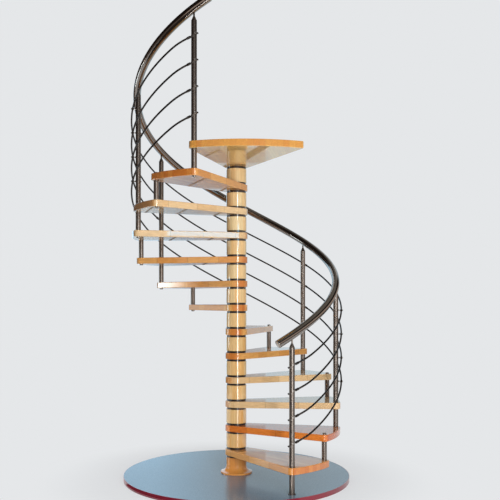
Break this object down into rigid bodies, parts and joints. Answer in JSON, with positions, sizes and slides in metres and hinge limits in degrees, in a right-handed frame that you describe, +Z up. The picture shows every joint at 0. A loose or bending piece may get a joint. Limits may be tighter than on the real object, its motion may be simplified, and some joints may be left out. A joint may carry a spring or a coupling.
{
  "type": "spiral staircase",
  "caption": "Free-standing spiral stair with wooden treads on a sleeved round column, a wedge-shaped top landing, steel posts, a helical tube handrail and infill rods on a round plinth",
  "frame": {"origin": "on the column's axis at the underside of the plinth", "axes": "+Z is up along the column; -Y is the front, where the first tread starts and the landing ends; +X is to the right seen from the front"},
  "size_m": [1.868, 1.868, 3.7085],
  "materials": {
    "beech": "laminated beech staves under gloss lacquer",
    "stainless": "polished stainless tube and bar",
    "core_steel": "black painted steel tube",
    "ring_black": "dark brown-black moulded ring",
    "plinth_top": "board with a semi-gloss blue-grey laminate",
    "plinth_edge": "dark red edge band"
  },
  "bodies": {
    "root": {"plinth_disc": "plinth_top", "plinth_edge_band": "plinth_edge", "column_core": "core_steel", "column_foot": "beech", "column_sleeves": "beech", "column_rings": "ring_black", "column_cap": "beech", "tread_01": "beech", "tread_02": "beech", "tread_03": "beech", "tread_04": "beech", "tread_05": "beech", "tread_06": "beech", "tread_07": "beech", "tread_08": "beech", "tread_09": "beech", "tread_10": "beech", "tread_11": "beech", "tread_12": "beech", "landing": "beech", "start_post": "stainless", "post_02": "stainless", "post_04": "stainless", "post_06": "stainless", "post_08": "stainless", "post_10": "stainless", "post_12": "stainless", "spacer_01": "stainless", "spacer_03": "stainless", "spacer_05": "stainless", "spacer_07": "stainless", "spacer_09": "stainless", "spacer_11": "stainless", "cap_nuts_lower": "stainless", "cap_nuts_upper": "stainless", "handrail": "stainless", "handrail_end_caps": "stainless", "infill_rod_1": "stainless", "infill_rod_2": "stainless", "infill_rod_3": "stainless", "infill_rod_4": "stainless", "rod_holders": "stainless"}
  },
  "joints": []
}
